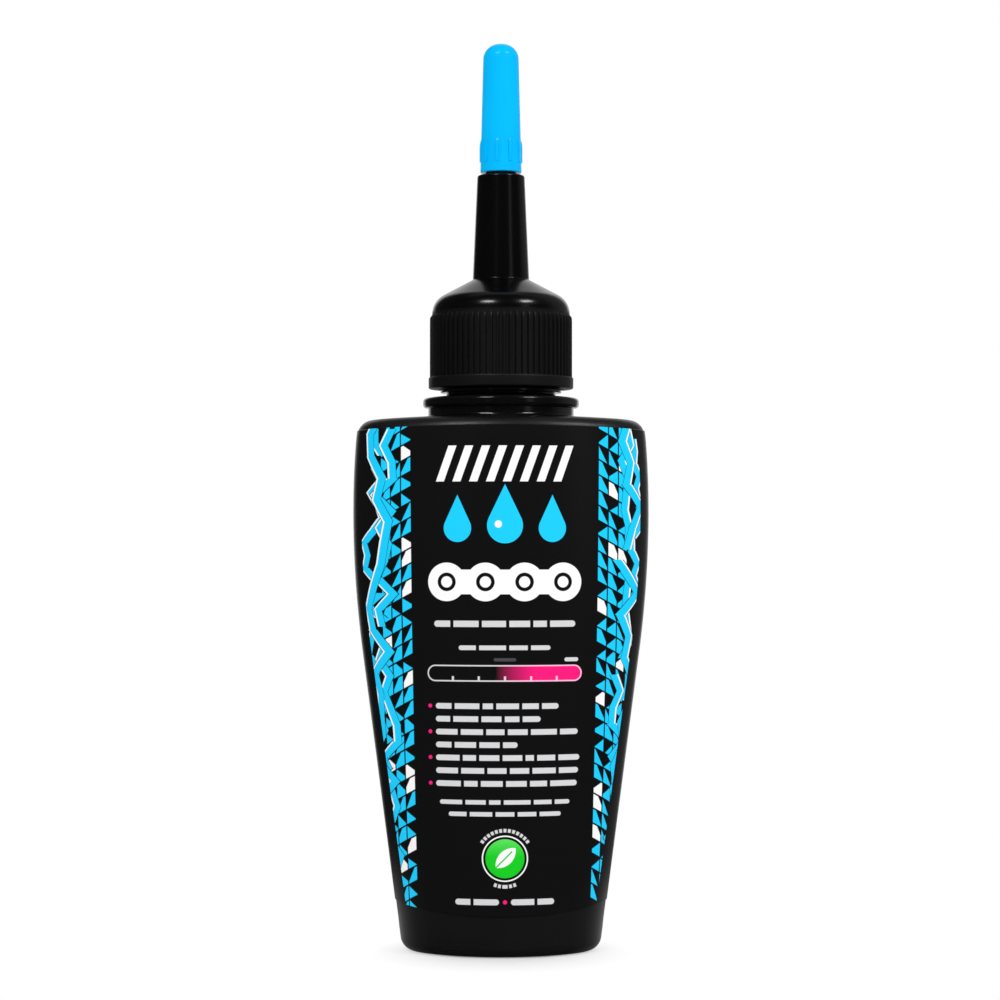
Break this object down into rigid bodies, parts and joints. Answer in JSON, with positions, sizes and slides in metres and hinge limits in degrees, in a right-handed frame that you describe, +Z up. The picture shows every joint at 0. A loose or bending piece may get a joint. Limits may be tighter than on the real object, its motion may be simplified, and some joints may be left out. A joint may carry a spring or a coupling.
{
  "type": "chain lube bottle",
  "caption": "Small tapered oval squeeze bottle with a label film, a ribbed screw cap with a tapered spout, a sealing ring and a push-on tip cap, for dripping lube on a chain.",
  "frame": {"origin": "middle of the foot, on the surface that the bottle stands on", "axes": "+Z up along the neck and spout, front of the label towards -Y, width along X"},
  "size_m": [0.0456, 0.0258, 0.14],
  "materials": {
    "bottle_plastic": "satin black blow-moulded polyethylene",
    "label_film": "black printed film, satin",
    "liner_foam": "white pressed foam",
    "cap_plastic": "black injection-moulded polypropylene",
    "tip_plastic": "bright blue injection-moulded polyethylene"
  },
  "bodies": {
    "bottle": {"bottle": "bottle_plastic", "label_sleeve": "label_film"},
    "liner": {"cap_liner": "liner_foam"},
    "cap": {"spout_cap": "cap_plastic"},
    "tip": {"tip_cap": "tip_plastic"}
  },
  "joints": [
    {"name": "cap_rise", "type": "slide", "parent": "bottle", "child": "liner", "axis": [0, 0, 1], "range_m": [0, 0.00477]},
    {"name": "cap_turn", "type": "hinge", "parent": "liner", "child": "cap", "pos_m": [0, 0, 0.0975], "axis": [0, 0, 1], "range_deg": [0, 540]},
    {"name": "tip_pull", "type": "slide", "parent": "cap", "child": "tip", "axis": [0, 0, 1], "range_m": [0, 0.02]}
  ],
  "couplings": [
    {"joint": "cap_rise", "follows": "cap_turn", "m_per_rad": 0.00050532}
  ]
}
